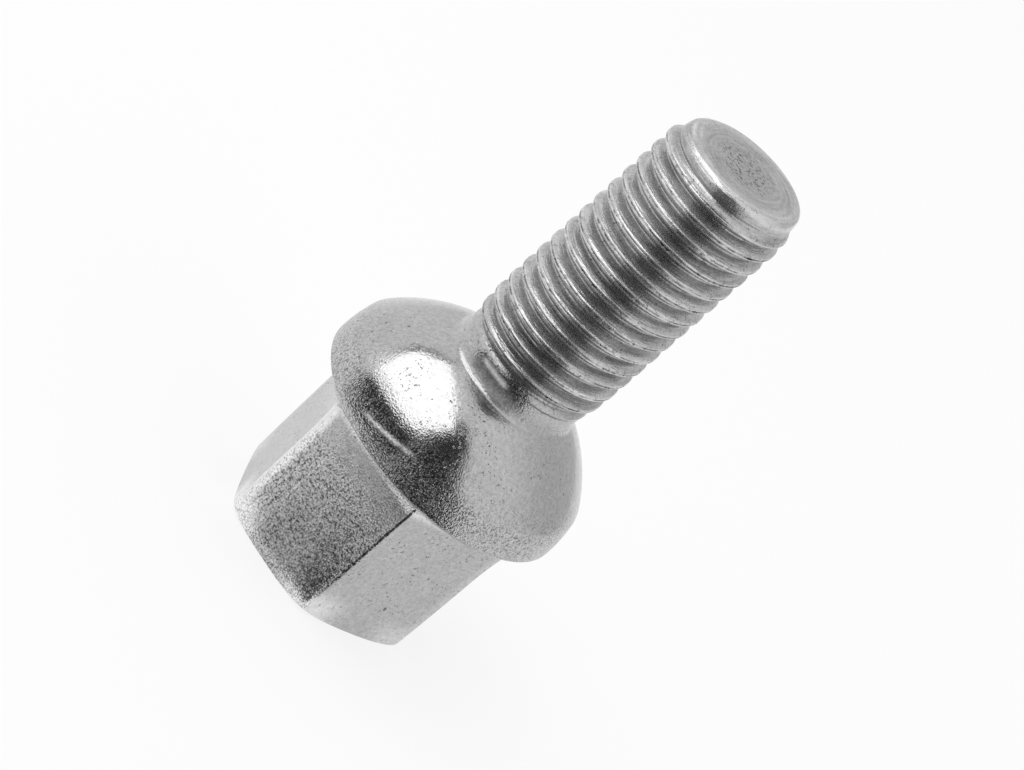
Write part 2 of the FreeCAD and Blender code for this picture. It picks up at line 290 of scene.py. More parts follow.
radius, angle, height = read_points(body.data)
angle = crowd_corners(angle)
half_flats = HALF_FLATS - HEAD_DRAFT * np.clip(COLLAR_BACK + 1 - height, 0, None)
half_flats = half_flats + ROOT_SWELL * np.clip((height - SWELL_START) / SWELL_HEIGHT, 0, 1) ** 2
corner_number = np.round(angle / SIXTH).astype(int) % 6
corner_round = np.array([CORNER_ROUNDS[k] for k in range(6)])[corner_number]
corner_round = corner_round + CROWN_WEAR * np.clip(1 - height / CROWN_WEAR_END, 0, 1) ** 2
hexagon = hexagon_radius(angle, half_flats, corner_round)
crown_height = np.clip(CROWN_RADIUS - height, 0, CROWN_RADIUS)
crown = CROWN_FACE + np.sqrt(CROWN_RADIUS ** 2 - crown_height ** 2)
pressed = np.where(height < CROWN_RADIUS, soft_min(hexagon, crown, EDGE_BLEND), hexagon)
from_flat_side = np.abs((angle - FLAT_SIDE + math.pi) % math.tau - math.pi)
on_flat_side = np.cos(np.clip(from_flat_side / FLAT_SIDE_WIDTH, 0, 1) * math.pi / 2) ** 2
cornerness = (hexagon - half_flats) / (half_flats / math.cos(SIXTH / 2) - half_flats)
flare_start = COLLAR_BACK + on_flat_side * (FLAT_SIDE_RISE + CORNER_RISE * cornerness)
rise = soft_max((height - flare_start) / (RIM_TOP - flare_start), np.zeros(len(height)), FLARE_BLEND)
spread = 1 - (1 - np.clip(rise, 0, 1)) ** (FLARE_POWER - FLAT_SIDE_POWER * on_flat_side)
flared = hexagon + (COLLAR_RADIUS - hexagon) * spread
on_head = (height > TINY) & (height < FLARE_BOTTOM - TINY)
on_flare = (height >= FLARE_BOTTOM - TINY) & (height < RIM_TOP + TINY)
radius = np.where(on_head, pressed, np.where(on_flare, flared, radius))
write_points(body.data, radius, angle, height)
print(f"head: {2 * radius[on_head].max():.2f} mm over the rounded corners")

# %% [markdown]
# ## One turn of the thread
#
# The thread is rolled, not cut: dies press the grooves, and the steel flows up into the crests. So the
# grooves have round roots, and each crest keeps a fine seam where the two sides of the flow met.
# Below is half a pitch of that section, from the crest down to the root, and the other half is its
# mirror image. A Screw modifier then winds it. Rings would be easier, but they don't climb.

# %% The thread's section
PITCH = 1.5
ROOT_RADIUS = 5.04
CREST_PHASE = 35.667     # height of one crest above +X
half_pitch = [(0.0, 5.862), (0.022, 5.868), (0.05, 5.897), (0.09, 5.905), (0.14, 5.897), (0.19, 5.868),
              (0.225, 5.815), (0.58, 5.2), (0.62, 5.137), (0.66, 5.085), (0.71, 5.05), (0.75, ROOT_RADIUS)]
up_side = [(r, -s) for s, r in reversed(half_pitch)]
thread_section = up_side + [(r, s) for s, r in half_pitch[1:]]
print(f"{len(thread_section)} points to a pitch")

# %% Wind the thread
THREAD_STEPS = 160
lowest_turn = math.floor((NECK_TOP - CREST_PHASE) / PITCH) - 1
turns = math.ceil((LENGTH - NECK_TOP) / PITCH) + 3
start = CREST_PHASE + lowest_turn * PITCH
thread = draw_chain("rolled_thread", [(r, start + s) for r, s in thread_section])
winding = thread.modifiers.new("winding", "SCREW")
winding.axis = "Z"
winding.angle = math.tau
winding.screw_offset = PITCH
winding.iterations = turns
winding.steps = THREAD_STEPS
winding.render_steps = THREAD_STEPS
bpy.ops.object.modifier_apply(modifier=winding.name)
bpy.ops.object.mode_set(mode="EDIT")
merge_and_face_outwards()
print(f"thread: {turns} turns, {len(thread.data.vertices)} vertices")

# %% [markdown]
# ## Cutting the thread to length
#
# The winding runs past both ends, so Bisect trims it level at the neck and just under the tip. What
# is left is an open tube whose two rims are ready to be bridged.

# %% Trim both ends
TIP_CUT = LENGTH - 0.02
NECK_CUT = NECK_TOP + 0.25


def cut_level(height, keep_above):
    bpy.ops.mesh.select_all(action="SELECT")
    bpy.ops.mesh.bisect(plane_co=(0, 0, height), plane_no=(0, 0, 1),
                        clear_inner=keep_above, clear_outer=not keep_above)


cut_level(NECK_CUT, keep_above=True)
cut_level(TIP_CUT, keep_above=False)
bpy.ops.object.mode_set(mode="OBJECT")
print(f"trimmed thread: {len(thread.data.vertices)} vertices")

# %% [markdown]
# ## Run-out and point
#
# The dies leave the blank slowly at the neck, so the first crests are low and the first grooves are
# shallow. At the tip the blank was chamfered before rolling, so the thread fades there into a smooth
# cone and a rounded edge. Both ends are blends between the plain blank and the full thread.

# %% Fade the thread into the blank
RUNOUT_START = 23.25
CREST_FADE = 1.0
ROOT_FADE = 0.8
POINT_START = 2.3           # from here to the tip the thread fades
POINT_PLAIN = 0.95          # and from here on it is gone
CHAMFER_DEPTH = 0.2
CHAMFER_START, CHAMFER_FULL = 1.3, 0.3
TIP_FACE = 4.65
TIP_ROUND = 0.69
TIP_BLEND = 0.1


def smooth_step(value, low, high):
    share = np.clip((value - low) / (high - low), 0, 1)
    return share * share * (3 - 2 * share)


def fading(value, full, gone):
    """1 up to full, 0 from gone on and a soft slope between them."""
    return smooth_step(-value, -gone, -full)


def blank_radius(height):
    """The plain blank that the thread was rolled into, with its chamfered point and rounded edge."""
    below_tip = LENGTH - height
    cone = NECK_RADIUS - CHAMFER_DEPTH * fading(below_tip, CHAMFER_FULL, CHAMFER_START)
    inside = np.clip(TIP_ROUND - below_tip, 0, TIP_ROUND)
    corner = TIP_FACE + np.sqrt(TIP_ROUND ** 2 - inside ** 2)
    return soft_min(cone, corner, TIP_BLEND)


radius, angle, height = read_points(thread.data)
above_start = np.clip(height - RUNOUT_START, 0, None)
grown = 1 - np.exp(-above_start / np.where(radius > NECK_RADIUS, CREST_FADE, ROOT_FADE))
kept = smooth_step(LENGTH - height, POINT_PLAIN, POINT_START)
blank = blank_radius(height)
radius = blank + (radius - blank) * grown * kept
write_points(thread.data, radius, angle, height)
print(f"thread runs from {NECK_TOP} to {LENGTH:.2f} mm, {2 * radius.max():.2f} mm over the crests")

# %% [markdown]
# ## One piece of steel
#
# The two meshes are joined, the neck's rim is bridged to the thread's first rim, and the tip is closed
# by extruding its rim inwards, ring by ring. One big face would close it too, but rings leave rows of
# vertices for the dish that comes next.

# %% Select a rim by its height
def select_rim(mesh_object, low, high):
    """Selects the open edges between two heights and returns how many there are."""
    bpy.ops.mesh.select_mode(type="EDGE")
    bpy.ops.mesh.select_all(action="DESELECT")
    bpy.ops.mesh.select_non_manifold(extend=False, use_wire=False, use_boundary=True, use_multi_face=False,
                                     use_non_contiguous=False, use_verts=False)
    bpy.ops.object.mode_set(mode="OBJECT")
    mesh = mesh_object.data
    count = 0
    for edge in mesh.edges:
        if edge.select:
            middle = sum(mesh.vertices[v].co.z for v in edge.vertices) / 2
            edge.select = low < middle < high
            count += edge.select
    for vertex in mesh.vertices:
        vertex.select = False
    for edge in mesh.edges:
        if edge.select:
            for v in edge.vertices:
                mesh.vertices[v].select = True
    bpy.ops.object.mode_set(mode="EDIT")
    return count


# %% Join, bridge and close the tip
TIP_RINGS = (0.97, 0.92, 0.88, 0.86, 0.85, 0.82, 0.75, 0.6)     # each ring's share of the one before it

deselect_all()
thread.select_set(True)
body.select_set(True)
bpy.context.view_layer.objects.active = body
bpy.ops.object.join()
bolt = body
bolt.name = "wheel_bolt_plated"
bpy.ops.object.mode_set(mode="EDIT")
rim_edges = select_rim(bolt, NECK_TOP - 0.1, NECK_TOP + 0.5)
bpy.ops.mesh.bridge_edge_loops()
tip_edges = select_rim(bolt, TIP_CUT - 0.1, TIP_CUT + 0.1)
for shrink in TIP_RINGS:
    bpy.ops.mesh.extrude_region_move(TRANSFORM_OT_translate={"value": (0, 0, 0)})
    bpy.ops.transform.resize(value=(shrink, shrink, 1), center_override=(0, 0, LENGTH))
bpy.ops.mesh.merge(type="CENTER")
merge_and_face_outwards()
bpy.ops.object.mode_set(mode="OBJECT")
print(f"bridged {rim_edges} edges at the neck, closed {tip_edges} at the tip")

# %% [markdown]
# ## The sheared tip
#
# The bar was sheared off before it was forged, so the tip's face is neither quite level nor quite flat:
# it falls away to one side and has a shallow dish. A proportional move by hand would do it. Here the
# same soft falloff is written as a sum, so that the tilt can be read off.

# %% Tilt and dish the tip
TIP_FALL = 0.08             # millimetres down for each millimetre across
TIP_FALL_TOWARDS = math.radians(-133)
TIP_DROP = 0.21
DISH_DEPTH = 0.09
TILT_START, TILT_FULL = LENGTH - 2.2, LENGTH - 0.4
DISH_EDGE, DISH_FLOOR = 3.4, 2.2

radius, angle, height = read_points(bolt.data)
near_tip = smooth_step(height, TILT_START, TILT_FULL)
fall = TIP_FALL * radius * np.cos(angle - TIP_FALL_TOWARDS) + TIP_DROP
dish = np.where(height > TIP_CUT - TINY, DISH_DEPTH * fading(radius, DISH_FLOOR, DISH_EDGE), 0)
write_points(bolt.data, radius, angle, height - near_tip * fall - dish)
print(f"the tip reaches {(height - near_tip * fall).max():.2f} mm")

# %% [markdown]
# ## Notes for the plating
#
# Wear is never spread evenly: spanners rub the corners of the head, the dies leave the thread streaky,
# and the shear leaves pits in the middle of the tip. Some notes also hold painted light: the paler
# corners, edges and crests are partly wear and partly painted highlight, the pale band where the hexagon
# meets the collar is painted highlight, the tip's rim is made paler, and the darker pepper on the flat
# facing the camera, the collar and the neck is partly painted shade. A texture painted by hand could hold
# this. Named attributes on the vertices do the same with a few sums, and the shader reads them by name.

# %% Zones along the bolt
def between(value, low, high, blend):
    """1 between two heights, with soft ends."""
    return smooth_step(value, low - blend, low + blend) * fading(value, high - blend, high + blend)


BELOW_HEAD = -1
HEAD_END = COLLAR_BACK + 0.4
SEAT_START = SEAT_BOTTOM - 0.2
LOW_SEAT_END = SEAT_BOTTOM + 1.2
THREAD_START, THREAD_END = NECK_TOP + 0.8, LENGTH - 0.55
ROOT_START, ROOT_FULL = 9.0, 12.0
FLAT_FADE = 0.03            # radians past the corners of the facing flat

radius, angle, height = read_points(bolt.data)
on_head = between(height, BELOW_HEAD, HEAD_END, 0.4)
on_collar = between(height, HEAD_END, SEAT_START, 0.6)
on_seat = between(height, SEAT_START, SEAT_TOP, 0.6)
low_seat = between(height, SEAT_BOTTOM, LOW_SEAT_END, 1.0)
on_neck = between(height, SEAT_TOP, THREAD_START, 0.4)
on_thread = between(height, THREAD_START, THREAD_END, 0.4)
near_root = smooth_step(height, ROOT_START, ROOT_FULL) * on_head
# The flat facing the camera, which gets a darker pepper that is partly painted shade.
front_flat = on_head * fading(np.abs(angle + math.pi / 2), SIXTH / 2, SIXTH / 2 + FLAT_FADE)
print(f"{int(on_thread.sum())} vertices on the thread, {int(on_head.sum())} on the head")

# %% Paler corners, edges and crests: partly wear, partly painted highlight
CORNER_WEAR_AND_HIGHLIGHT = np.array([0.4, 0.5, 0.5, 0.4, 1.0, 0.7])    # by sixth of a turn from +X
EDGE_WEAR_AND_HIGHLIGHT = np.array([0.2, 0.4, 0.4, 0.2, 0.8, 0.0])
CREST_WEAR_AND_HIGHLIGHT = 0.4
JUNCTION_HIGHLIGHT = 0.6
TIP_RIM_PALENESS = 0.4
SEAM_WIDTH = 0.09
SEAM_END = POINT_START      # from here to the tip the crests fade
CROWN_PALEST, CROWN_PLAIN = 0.8, 3.6      # distances from a corner
CROWN_LOW, CROWN_HIGH = 1.2, 3.4            # heights
EDGE_PALEST, EDGE_PLAIN = 0.3, 0.8        # distances from a corner
CREST_PLAIN, CREST_PALEST = 5.7, 5.88     # radii

off_corner = np.abs((angle + SIXTH / 2) % SIXTH - SIXTH / 2) * radius
corner_number = np.round(angle / SIXTH).astype(int) % 6
off_crest = np.abs((height - CREST_PHASE - PITCH * angle / math.tau + PITCH / 2) % PITCH - PITCH / 2)
# Paler crown corners and hex edges, set corner by corner: partly wear, partly painted highlight.
crown_wear_and_highlight = CORNER_WEAR_AND_HIGHLIGHT[corner_number] * fading(off_corner, CROWN_PALEST, CROWN_PLAIN)
crown_wear_and_highlight = crown_wear_and_highlight * fading(height, CROWN_LOW, CROWN_HIGH)
edge_wear_and_highlight = EDGE_WEAR_AND_HIGHLIGHT[corner_number] * fading(off_corner, EDGE_PALEST, EDGE_PLAIN)
# Paler thread crests: partly wear, partly painted highlight.
crest_wear_and_highlight = CREST_WEAR_AND_HIGHLIGHT * on_thread * smooth_step(radius, CREST_PLAIN, CREST_PALEST)
# The pale band where the hexagon meets the collar is painted highlight.
junction_highlight = JUNCTION_HIGHLIGHT * between(height, COLLAR_BACK + 0.1, COLLAR_BACK + 1.2, 0.3)
# The tip's rounded rim is made paler.
tip_rim_paleness = TIP_RIM_PALENESS * smooth_step(height, LENGTH - 1.0, LENGTH - 0.6) * smooth_step(radius, 3.9, 4.5)
on_tip = smooth_step(height, LENGTH - 0.9, LENGTH - 0.7)
tip_middle = on_tip * fading(radius, 1.2, 3.4)
seam = on_thread * fading(off_crest, SEAM_WIDTH / 2, SEAM_WIDTH)
seam = seam * smooth_step(LENGTH - height, SEAM_END - 0.3, SEAM_END)
neck_ridge = between(height, NECK_TOP - 1.5, NECK_TOP - 0.6, 0.4)
print(f"seam on {int((seam > 0).sum())} vertices")

# %% Write the notes
notes = {"grain": (0.9 * on_head * (1 - 0.5 * near_root) + 1.4 * on_collar + 0.35 * low_seat
                   + 0.15 * on_seat + 0.9 * on_neck),
         "pepper_and_shade": front_flat * (1 - 0.7 * near_root) + 0.7 * on_collar + 0.5 * low_seat + 0.25 * on_neck,
         "rolled": on_thread,
         "seam": seam,
         "pitted": tip_middle,
         "sheared": on_tip * smooth_step(radius, 1.5, 3.5),
         "dull": neck_ridge,
         "wear_and_highlight": np.max([on_head * crown_wear_and_highlight, on_head * edge_wear_and_highlight, crest_wear_and_highlight,
                         junction_highlight, tip_rim_paleness], axis=0)}
for name, values in notes.items():
    layer = bolt.data.attributes.new(name, "FLOAT", "POINT")
    layer.data.foreach_set("value", values.astype(np.float32))
    print(f"{name}: {values.min():.2f} to {values.max():.2f}")

# %% [markdown]
# ## To its real size
#
# The mesh has been in millimetres so far. It is scaled about the world's origin and the scale is applied,
# so the finished bolt lies unscaled on the frame. Smooth shading stops at edges sharper than 40 degrees.
# Last, the bolt is hung on the frame's root body, and the CAD piece that it stands for is hidden.

# %% Shrink to metres and smooth
deselect_all()
bolt.select_set(True)
bpy.context.view_layer.objects.active = bolt
bpy.ops.transform.resize(value=(MM, MM, MM), center_override=(0, 0, 0))
bpy.ops.object.transform_apply(location=True, rotation=True, scale=True)
bpy.ops.object.shade_smooth_by_angle(angle=math.radians(40))
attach(bolt, "root")
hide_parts("wheel_bolt")
triangles = sum(len(face.vertices) - 2 for face in bolt.data.polygons)
print(f"bolt: {triangles} triangles")

# %% [markdown]
# ## The camera
#
# A long lens from a quarter of a metre away, rolled so that the standing bolt leans across the picture.
# A camera could be set by eye in the viewport. Here its angles come from a fit to the crest lines of the
# thread, whose pitch is known.

# %% Camera
CAMERA_AZIMUTH = math.radians(-74.437)
CAMERA_ELEVATION = math.radians(24.663)
CAMERA_DISTANCE = 267.35 * MM
CAMERA_ROLL = math.radians(48.35)
TARGET_ASIDE, TARGET_HEIGHT = 0.32 * MM, 21.17 * MM
LENS = 126.56

deselect_all()
towards = Vector((math.cos(CAMERA_AZIMUTH), math.sin(CAMERA_AZIMUTH), 0))
sideways = Vector((-towards.y, towards.x, 0))
target = sideways * TARGET_ASIDE + Vector((0, 0, TARGET_HEIGHT))
back = towards * math.cos(CAMERA_ELEVATION) + Vector((0, 0, math.sin(CAMERA_ELEVATION)))
level_up = back.cross(sideways)
right = sideways * math.cos(CAMERA_ROLL) + level_up * math.sin(CAMERA_ROLL)
bpy.ops.object.camera_add()
camera = bpy.context.object
camera.data.lens = LENS
camera.data.clip_start = 1 * MM
camera.matrix_world = Matrix((right, back.cross(right), back)).transposed().to_4x4()
camera.location = target + back * CAMERA_DISTANCE
bpy.context.scene.camera = camera
print(f"camera {CAMERA_DISTANCE / MM:.0f} mm from the bolt, {LENS} mm lens")

# %% [markdown]
# ## Shader sums in plain Python
#
# Node trees are easier to read as formulas. This small class wraps one output socket: adding or
# multiplying two of them puts a Math node into the tree, and its node method makes any other node from
# its type, its settings and its sockets.

# %% A socket that can be reckoned with
class Wire:
    """An output socket of a node tree. Sums on wires and numbers add Math nodes to the tree."""

    def __init__(self, tree, socket=None):
        self.tree = tree
        self.socket = socket

    def node(self, kind, settings=(), sockets=(), output=0):
        """Adds a node, sets it up, links or fills its sockets and returns one of its outputs."""
        made = self.tree.nodes.new(kind)
        for name, value in dict(settings).items():
            setattr(made, name, value)
        for name, value in dict(sockets).items():
            if isinstance(value, Wire):
                self.tree.links.new(value.socket, made.inputs[name])
            else:
                made.inputs[name].default_value = value
        return Wire(self.tree, made.outputs[output] if made.outputs else None)

    def reckon(self, operation, first, second=0.0):
        return self.node("ShaderNodeMath", {"operation": operation}, {0: first, 1: second})

    def __add__(self, other):
        return self.reckon("ADD", self, other)

    def __radd__(self, other):
        return self.reckon("ADD", other, self)

    def __sub__(self, other):
        return self.reckon("SUBTRACT", self, other)

    def __rsub__(self, other):
        return self.reckon("SUBTRACT", other, self)

    def __mul__(self, other):
        return self.reckon("MULTIPLY", self, other)

    def __rmul__(self, other):
        return self.reckon("MULTIPLY", other, self)

    def __truediv__(self, other):
        return self.reckon("DIVIDE", self, other)

    def larger(self, other):
        return self.reckon("MAXIMUM", self, other)

    def step(self, low, high):
        """0 below low, 1 above high and a soft slope between them. Low may be the larger."""
        settings = {"interpolation_type": "SMOOTHSTEP"}
        return self.node("ShaderNodeMapRange", settings, {"Value": self, "From Min": low, "From Max": high})


def new_tree(owner):
    """An empty node tree of a material or world, ready for wires."""
    owner.use_nodes = True
    owner.node_tree.nodes.clear()
    return Wire(owner.node_tree)


# %% [markdown]
# ## The plating
#
# Zinc on rolled steel is a bright grey metal, but never a mirror. A grain of about a sixth of a
# millimetre tips the surface a few degrees this way and that, so that the edge between a bright and a
# dark reflection breaks up into salt and pepper. Dark specks and pits lie scattered over it, and on the
# flat facing the camera, the collar and the neck a darker pepper is partly painted shade. On the thread
# the noise is stretched along the helix, because the dies draw the metal that way. Two pale, duller
# streaks, at the seat's edge and on the neck, are painted highlights, and the paler corners, edges and
# crests are partly wear and partly painted highlight. An image texture could hold all this, but noise in
# the object's own coordinates needs no unwrapping.

# %% Noise in millimetres
steel = bpy.data.materials.new("bright_zinc_plate")
plate = new_tree(steel)
place = plate.node("ShaderNodeTexCoord", output="Object")
in_mm = plate.node("ShaderNodeVectorMath", {"operation": "SCALE"}, {0: place, "Scale": 1 / MM})


def noise(grains_per_mm, detail=2.0, rough=0.5, vector=in_mm):
    return plate.node("ShaderNodeTexNoise", {},
                      {"Vector": vector, "Scale": grains_per_mm, "Detail": detail, "Roughness": rough})


def noted(name):
    return plate.node("ShaderNodeAttribute", {"attribute_name": name}, output="Fac")


x, y, z = [plate.node("ShaderNodeSeparateXYZ", {}, {"Vector": in_mm}, axis) for axis in "XYZ"]
turn = plate.reckon("ARCTAN2", x, -1 * y)
up_the_helix = z - PITCH / math.tau * turn
along_helix = plate.node("ShaderNodeCombineXYZ", {}, {"X": 0.3 * x, "Y": 0.3 * y, "Z": 5 * up_the_helix})
off_axis = plate.reckon("SQRT", x * x + y * y)
round_the_tip = plate.node("ShaderNodeCombineXYZ", {}, {"X": 0.4 * x, "Y": 0.4 * y, "Z": 4 * off_axis})

# %% Grain, wear and dirt
rolled = noted("rolled")
pepper_and_shade = noted("pepper_and_shade")
grain = noise(6.5, 1.0, 0.6)
mottle = noise(3.0, 3.0, 0.6)
ripple = noise(0.8, 2.0)
cloud = noise(0.25, 3.0)
streaks = noise(1.0, 2.0, 0.6, along_helix)
# Dark pepper on the flat facing the camera, the collar, the seat's edge and the neck: partly speckle,
# partly painted shade.
shaded_pepper = pepper_and_shade * noise(6.0, 3.0, 0.75).step(0.42, 0.66)
matt_grains = pepper_and_shade * noise(6.5, 2.0, 0.7).step(0.46, 0.64)
rings = noted("sheared") * (noise(1.0, 2.0, 0.6, round_the_tip) - 0.5)
# Paler corners, edges, crests, collar junction and tip rim: partly wear, partly painted highlight.
wear_and_highlight = noted("wear_and_highlight") * noise(1.6, 3.0).step(0.22, 0.42)
seams = noted("seam") * noise(0.9, 2.0, 0.6).step(0.4, 0.55)
specks = noise(4.0, 2.0, 0.65).step(0.61, 0.69) * noise(0.5, 2.0).step(0.44, 0.60)
spots = noise(1.9, 2.0, 0.6).step(0.72, 0.75)
pits = noted("pitted") * noise(3.5, 2.0, 0.7).step(0.5, 0.62)
nicks = rolled * wear_and_highlight * noise(1.7, 2.0, 0.6).step(0.6, 0.66)
marks = (0.75 * specks).larger(spots).larger(pits).larger(1.6 * nicks)
SCRATCH_X, SCRATCH_LEAN = -2.4, 0.02
off_scratch = plate.reckon("ABSOLUTE", x - SCRATCH_X + SCRATCH_LEAN * z)
scratch = pepper_and_shade * off_scratch.step(0.06, 0.02) * noise(0.7, 2.0).step(0.35, 0.5)

# %% Painted highlights: pale streaks at the edge of the seat and on the neck
SEAT_GLINT_HALF_TURN = math.radians(15)
SEAT_GLINT_HEIGHT, SEAT_GLINT_SLOPE = 16.15, 2.55     # millimetres, and millimetres per radian
SEAT_GLINT_WIDTH = 0.34

# A pale, duller streak along the seat's edge: painted highlight.
off_seat_glint = plate.reckon("ABSOLUTE", z - SEAT_GLINT_HEIGHT - SEAT_GLINT_SLOPE * turn)
seat_glint = off_seat_glint.step(SEAT_GLINT_WIDTH, 0.0) * plate.reckon("ABSOLUTE", turn).step(SEAT_GLINT_HALF_TURN, SEAT_GLINT_HALF_TURN / 2)
seat_glint = seat_glint * off_axis.step(10, 10.5) * noise(2.0, 2.0).step(0.2, 0.5)
NECK_GLINT_HEIGHT, NECK_GLINT_WIDTH = 23.2, 0.45
NECK_GLINT_TURN, NECK_GLINT_HALF_TURN = math.radians(3), math.radians(20)

# A pale, duller streak on the neck: painted highlight.
off_neck_glint = plate.reckon("ABSOLUTE", z - NECK_GLINT_HEIGHT)
round_neck = plate.reckon("ABSOLUTE", turn - NECK_GLINT_TURN)
neck_glint = off_neck_glint.step(NECK_GLINT_WIDTH, 0.0)
neck_glint = neck_glint * round_neck.step(NECK_GLINT_HALF_TURN, NECK_GLINT_HALF_TURN / 2)
glints = seat_glint.larger(neck_glint)
dull = noted("dull").larger(glints)

# %% Bright zinc plate
BUMP_DISTANCE = 0.04 * MM
# Painted light in the tone: the pale streaks are painted highlight, the paler corners, edges, crests,
# collar junction and tip rim are partly wear and partly painted highlight, the pepper is partly painted
# shade.
tone = (0.16 - 0.33 * rolled + 0.06 * cloud + 0.22 * grain + 0.30 * mottle + 0.6 * rolled * streaks
        + 0.42 * wear_and_highlight.larger(glints) + 0.25 * scratch + 0.5 * rings - 0.30 * marks - 0.35 * seams
        + 0.17 * pepper_and_shade - 0.6 * shaded_pepper)
colour = plate.node("ShaderNodeCombineColor", {}, {"Red": tone, "Green": tone, "Blue": tone})
relief = grain * noted("grain") + 0.5 * ripple - 0.5 * marks + rolled * (1.8 * streaks + 0.3 * grain)
bumped = plate.node("ShaderNodeBump", {}, {"Height": relief, "Strength": 1.0, "Distance": BUMP_DISTANCE})
rough = 0.12 + 0.13 * rolled + 0.05 * grain + 0.3 * marks
metallic = 1 - 0.13 * rolled - 0.5 * matt_grains - 0.6 * dull
zinc = plate.node("ShaderNodeBsdfPrincipled", {}, {"Base Color": colour, "Metallic": metallic,
                                                   "Roughness": rough, "Normal": bumped})
plate.node("ShaderNodeOutputMaterial", {}, {"Surface": zinc})
bolt.data.materials.clear()
bolt.data.materials.append(steel)
print(f"{steel.name}: {len(steel.node_tree.nodes)} nodes")

# %% [markdown]
# ## The floor
#
# The bolt stands on a white sheet. The camera and the metal both see the sheet as white, and a part of it
# stays a plain matt surface, so that the bolt's shadow still falls on it.

# %% White floor
GLOW_SHARE = 0.82
FLOOR_SIZE = 6              # metres


def seen_directly(tree):
    """1 for rays from the camera and for those that come off metal or through glass."""
    camera_ray = tree.node("ShaderNodeLightPath", output="Is Camera Ray")
    glossy_ray = tree.node("ShaderNodeLightPath", output="Is Glossy Ray")
    glass_ray = tree.node("ShaderNodeLightPath", output="Is Transmission Ray")
    return (camera_ray + glossy_ray + glass_ray).step(0.0, 1.0)


def glow(tree, strength):
    return tree.node("ShaderNodeEmission", {}, {"Color": (1, 1, 1, 1), "Strength": strength})


def finish_material(tree, shader):
    tree.node("ShaderNodeOutputMaterial", {}, {"Surface": shader})


deselect_all()
bpy.ops.mesh.primitive_plane_add(size=FLOOR_SIZE)
floor = bpy.context.object
floor.name = "floor"
sheet_material = bpy.data.materials.new("white_sheet")
sheet = new_tree(sheet_material)
matt = sheet.node("ShaderNodeBsdfDiffuse", {}, {"Color": (0.9, 0.9, 0.9, 1)})
finish_material(sheet, sheet.node("ShaderNodeMixShader", {},
                                  {0: GLOW_SHARE * seen_directly(sheet), 1: matt, 2: glow(sheet, 1.0)}))
floor.data.materials.append(sheet_material)
print(f"floor: {FLOOR_SIZE} m of white sheet")

# %% [markdown]
# ## The tent
#
# Shiny metal shows its surroundings, so they matter as much as the metal does. All round is a white tent.
# It has one dark opening on the camera's side, and one corner that gets less light. An image of
# a real studio could stand here. A few angles do the same, and can be moved to where a reflection belongs.

# %% Tent with an opening for the camera
def from_bolt(elevation, to_the_right):
    """A direction from the bolt, in degrees above the floor and to the right of the camera."""
    turn = CAMERA_AZIMUTH + math.radians(to_the_right)
    rise = math.radians(elevation)
    return Vector((math.cos(rise) * math.cos(turn), math.cos(rise) * math.sin(turn), math.sin(rise)))


scene = bpy.context.scene
scene.view_settings.view_transform = "Standard"
world = bpy.data.worlds.new("tent")
scene.world = world
tent = new_tree(world)
looking = tent.node("ShaderNodeTexCoord", output="Generated")


def facing(direction):
    return tent.node("ShaderNodeVectorMath", {"operation": "DOT_PRODUCT"},
                     {0: looking, 1: direction}, "Value")


OPENING_RISE, OPENING_ASIDE = 15, -16
OPENING_DEPTH = 0.97
DIM_CORNER = 0.3

ahead = facing(from_bolt(OPENING_RISE, OPENING_ASIDE))
across = facing(from_bolt(0, OPENING_ASIDE + 90)) / ahead
above = facing(from_bolt(OPENING_RISE + 90, OPENING_ASIDE)) / ahead
opening = across.step(-0.15, 0.1) * (across + 0.43 * above).step(1.55, 1.15)
opening = opening * above.step(2.1, 1.7) * ahead.step(0.05, 0.15)
dim_corner = facing(from_bolt(10, 150)).step(0.34, 0.98)
camera_ray = tent.node("ShaderNodeLightPath", output="Is Camera Ray")
dimmed = (OPENING_DEPTH * opening + DIM_CORNER * dim_corner * (1 - opening)) * (1 - camera_ray)
lit = tent.node("ShaderNodeBackground", {}, {"Color": (1, 1, 1, 1), "Strength": 1 - dimmed})
tent.node("ShaderNodeOutputWorld", {}, {"Surface": lit})
print(f"tent: {len(world.node_tree.nodes)} nodes")

# %% [markdown]
# ## The softbox
#
# The white patch on the ball seat is the picture of a lamp, so its outline is the lamp's outline. An area
# lamp can only be a rectangle or an ellipse, and it adds its light to whatever is behind it. A card with
# six corners that glows has the right outline and hides what is behind it. One side of its
# frame is black.

# %% Cards on the stage
def make_card(name, corners):
    """A flat card with the given corners, and an empty node tree for its material."""
    deselect_all()
    bpy.ops.mesh.primitive_circle_add(vertices=len(corners), fill_type="NGON")
    card = bpy.context.object
    card.name = name
    for vertex, corner in zip(card.data.vertices, corners):
        vertex.co = corner
    card.data.materials.append(bpy.data.materials.new(name))
    return card, new_tree(card.data.materials[0])


def show_only_to_metal(card):
    card.visible_camera = False
    card.visible_shadow = False
    card.visible_diffuse = False


# %% Softbox
SOFTBOX_DISTANCE = 0.4
SOFTBOX_RADIANCE = 2.4
DARK_RADIANCE = 0.05
SEAT_HEIGHT = 19 * MM
aim = from_bolt(49.5, -62)


def on_softbox(elevation, to_the_right):
    direction = from_bolt(elevation, to_the_right)
    return direction * SOFTBOX_DISTANCE / direction.dot(aim) + Vector((0, 0, SEAT_HEIGHT))


